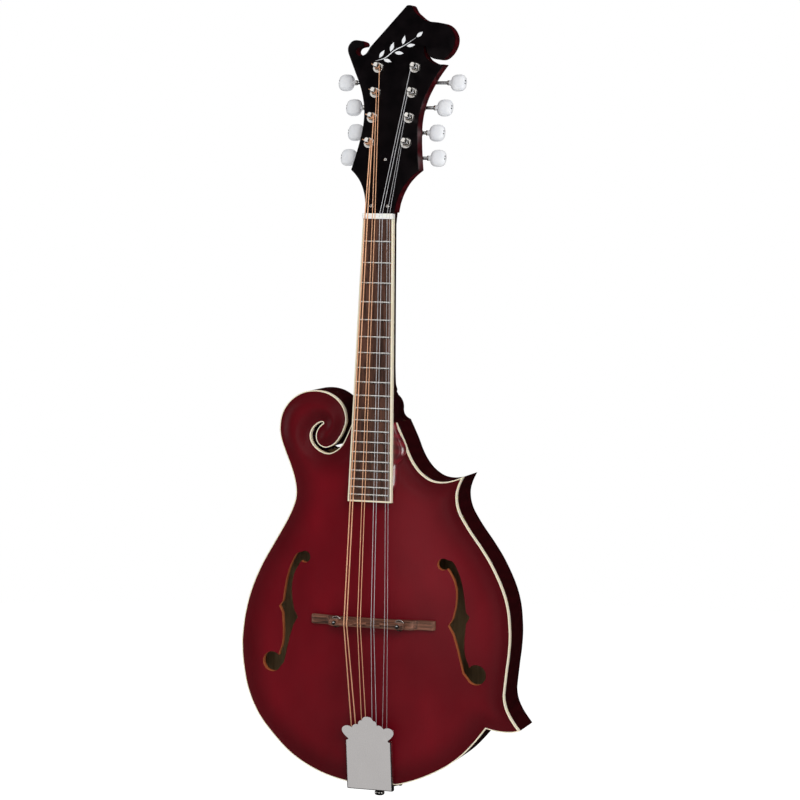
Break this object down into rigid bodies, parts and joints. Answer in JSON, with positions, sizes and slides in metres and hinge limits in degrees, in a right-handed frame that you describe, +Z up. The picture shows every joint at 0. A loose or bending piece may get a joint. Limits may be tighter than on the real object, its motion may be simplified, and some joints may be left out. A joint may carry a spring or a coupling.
{
  "type": "F-style mandolin",
  "caption": "F-style mandolin with a carved scroll body, two f-holes, a fretted neck, paired strings, an adjustable floating bridge, geared tuners and a stamped tailpiece.",
  "frame": {"origin": "centre of the end button's flat outer face", "axes": "+Z up along the neck from tail to headstock, -Y out of the soundboard towards the player's hand, +X towards the treble side"},
  "size_m": [0.2593, 0.1092, 0.7045],
  "materials": {
    "wine_red_spruce": "satin stained lacquer over carved spruce",
    "wine_red_maple": "satin dark red stained lacquer over maple",
    "raw_spruce": "bare spruce and basswood",
    "raw_block_wood": "bare mahogany and spruce blocks",
    "black_veneer": "satin black lacquered face veneer",
    "black_plastic": "black plastic",
    "cream_binding": "cream celluloid",
    "white_nut": "white synthetic bone",
    "rosewood": "oiled rosewood with nickel-silver frets",
    "nickel": "satin nickel plate",
    "steel": "plain steel",
    "bronze_wound_string": "bronze-wound steel",
    "pearloid": "white pearloid"
  },
  "bodies": {
    "root": {"soundboard": "wine_red_spruce", "top_binding": "cream_binding", "ribs": "wine_red_maple", "back_plate": "wine_red_maple", "head_block": "raw_block_wood", "tail_block": "raw_block_wood", "lining_top": "raw_spruce", "lining_back": "raw_spruce", "tone_bar_bass": "raw_spruce", "tone_bar_treble": "raw_spruce", "neck": "wine_red_maple", "headstock_veneer": "black_veneer", "truss_rod": "steel", "truss_rod_cover": "black_plastic", "nut": "white_nut", "fingerboard": "rosewood", "fingerboard_binding": "cream_binding", "bridge_base": "rosewood", "bridge_stud_bass": "nickel", "bridge_stud_treble": "nickel", "tailpiece_frame": "nickel", "end_button": "nickel", "tuner_plate_bass": "nickel", "tuner_plate_treble": "nickel", "string_g1": "bronze_wound_string", "string_g2": "bronze_wound_string", "string_d1": "bronze_wound_string", "string_d2": "bronze_wound_string", "string_a1": "steel", "string_a2": "steel", "string_e1": "steel", "string_e2": "steel"},
    "tuner_bass_1": {"tuner_button_bass_1": "pearloid", "worm_shaft_bass_1": "steel"},
    "post_bass_1": {"string_post_bass_1": "nickel"},
    "tuner_bass_2": {"tuner_button_bass_2": "pearloid", "worm_shaft_bass_2": "steel"},
    "post_bass_2": {"string_post_bass_2": "nickel"},
    "tuner_bass_3": {"tuner_button_bass_3": "pearloid", "worm_shaft_bass_3": "steel"},
    "post_bass_3": {"string_post_bass_3": "nickel"},
    "tuner_bass_4": {"tuner_button_bass_4": "pearloid", "worm_shaft_bass_4": "steel"},
    "post_bass_4": {"string_post_bass_4": "nickel"},
    "tuner_treble_1": {"tuner_button_treble_1": "pearloid", "worm_shaft_treble_1": "steel"},
    "post_treble_1": {"string_post_treble_1": "nickel"},
    "tuner_treble_2": {"tuner_button_treble_2": "pearloid", "worm_shaft_treble_2": "steel"},
    "post_treble_2": {"string_post_treble_2": "nickel"},
    "tuner_treble_3": {"tuner_button_treble_3": "pearloid", "worm_shaft_treble_3": "steel"},
    "post_treble_3": {"string_post_treble_3": "nickel"},
    "tuner_treble_4": {"tuner_button_treble_4": "pearloid", "worm_shaft_treble_4": "steel"},
    "post_treble_4": {"string_post_treble_4": "nickel"},
    "saddle": {"bridge_saddle": "rosewood"},
    "wheel_bass": {"bridge_thumbwheel_bass": "nickel"},
    "wheel_treble": {"bridge_thumbwheel_treble": "nickel"},
    "cover": {"tailpiece_cover": "nickel"}
  },
  "joints": [
    {"name": "tuner_bass_1_turn", "type": "hinge", "parent": "root", "child": "tuner_bass_1", "pos_m": [-0.0171, 0.01779, 0.56856], "axis": [1, 0, 0], "continuous": true},
    {"name": "post_bass_1_turn", "type": "hinge", "parent": "root", "child": "post_bass_1", "pos_m": [-0.0171, 0.00105, 0.58134], "axis": [0, -0.9449, 0.3272], "continuous": true},
    {"name": "tuner_bass_2_turn", "type": "hinge", "parent": "root", "child": "tuner_bass_2", "pos_m": [-0.0171, 0.02551, 0.59086], "axis": [1, 0, 0], "continuous": true},
    {"name": "post_bass_2_turn", "type": "hinge", "parent": "root", "child": "post_bass_2", "pos_m": [-0.0171, 0.00877, 0.60364], "axis": [0, -0.9449, 0.3272], "continuous": true},
    {"name": "tuner_bass_3_turn", "type": "hinge", "parent": "root", "child": "tuner_bass_3", "pos_m": [-0.0171, 0.03323, 0.61316], "axis": [1, 0, 0], "continuous": true},
    {"name": "post_bass_3_turn", "type": "hinge", "parent": "root", "child": "post_bass_3", "pos_m": [-0.0171, 0.01649, 0.62594], "axis": [0, -0.9449, 0.3272], "continuous": true},
    {"name": "tuner_bass_4_turn", "type": "hinge", "parent": "root", "child": "tuner_bass_4", "pos_m": [-0.0171, 0.04095, 0.63546], "axis": [1, 0, 0], "continuous": true},
    {"name": "post_bass_4_turn", "type": "hinge", "parent": "root", "child": "post_bass_4", "pos_m": [-0.0171, 0.02422, 0.64824], "axis": [0, -0.9449, 0.3272], "continuous": true},
    {"name": "tuner_treble_1_turn", "type": "hinge", "parent": "root", "child": "tuner_treble_1", "pos_m": [0.0171, 0.01779, 0.56856], "axis": [1, 0, 0], "continuous": true},
    {"name": "post_treble_1_turn", "type": "hinge", "parent": "root", "child": "post_treble_1", "pos_m": [0.0171, 0.00105, 0.58134], "axis": [0, -0.9449, 0.3272], "continuous": true},
    {"name": "tuner_treble_2_turn", "type": "hinge", "parent": "root", "child": "tuner_treble_2", "pos_m": [0.0171, 0.02551, 0.59086], "axis": [1, 0, 0], "continuous": true},
    {"name": "post_treble_2_turn", "type": "hinge", "parent": "root", "child": "post_treble_2", "pos_m": [0.0171, 0.00877, 0.60364], "axis": [0, -0.9449, 0.3272], "continuous": true},
    {"name": "tuner_treble_3_turn", "type": "hinge", "parent": "root", "child": "tuner_treble_3", "pos_m": [0.0171, 0.03323, 0.61316], "axis": [1, 0, 0], "continuous": true},
    {"name": "post_treble_3_turn", "type": "hinge", "parent": "root", "child": "post_treble_3", "pos_m": [0.0171, 0.01649, 0.62594], "axis": [0, -0.9449, 0.3272], "continuous": true},
    {"name": "tuner_treble_4_turn", "type": "hinge", "parent": "root", "child": "tuner_treble_4", "pos_m": [0.0171, 0.04095, 0.63546], "axis": [1, 0, 0], "continuous": true},
    {"name": "post_treble_4_turn", "type": "hinge", "parent": "root", "child": "post_treble_4", "pos_m": [0.0171, 0.02422, 0.64824], "axis": [0, -0.9449, 0.3272], "continuous": true},
    {"name": "saddle_lift", "type": "slide", "parent": "root", "child": "saddle", "axis": [0, -1, 0], "range_m": [-0.001, 0.0012], "deforming": ["string_g1", "string_g2", "string_d1", "string_d2", "string_a1", "string_a2", "string_e1", "string_e2"]},
    {"name": "thumbwheel_bass_turn", "type": "hinge", "parent": "saddle", "child": "wheel_bass", "pos_m": [-0.0283, -0.0415, 0.161], "axis": [0, -1, 0], "range_deg": [-740, 880]},
    {"name": "thumbwheel_treble_turn", "type": "hinge", "parent": "saddle", "child": "wheel_treble", "pos_m": [0.0301, -0.0415, 0.161], "axis": [0, -1, 0], "range_deg": [-740, 880]},
    {"name": "cover_slide", "type": "slide", "parent": "root", "child": "cover", "axis": [0, 0.1392, -0.9903], "range_m": [0, 0.06]}
  ],
  "couplings": [
    {"joint": "post_bass_1_turn", "follows": "tuner_bass_1_turn", "ratio": -0.071429},
    {"joint": "post_bass_2_turn", "follows": "tuner_bass_2_turn", "ratio": -0.071429},
    {"joint": "post_bass_3_turn", "follows": "tuner_bass_3_turn", "ratio": -0.071429},
    {"joint": "post_bass_4_turn", "follows": "tuner_bass_4_turn", "ratio": -0.071429},
    {"joint": "post_treble_1_turn", "follows": "tuner_treble_1_turn", "ratio": -0.071429},
    {"joint": "post_treble_2_turn", "follows": "tuner_treble_2_turn", "ratio": -0.071429},
    {"joint": "post_treble_3_turn", "follows": "tuner_treble_3_turn", "ratio": -0.071429},
    {"joint": "post_treble_4_turn", "follows": "tuner_treble_4_turn", "ratio": -0.071429},
    {"joint": "thumbwheel_bass_turn", "follows": "saddle_lift", "rad_per_m": 12566},
    {"joint": "thumbwheel_treble_turn", "follows": "saddle_lift", "rad_per_m": 12566}
  ]
}
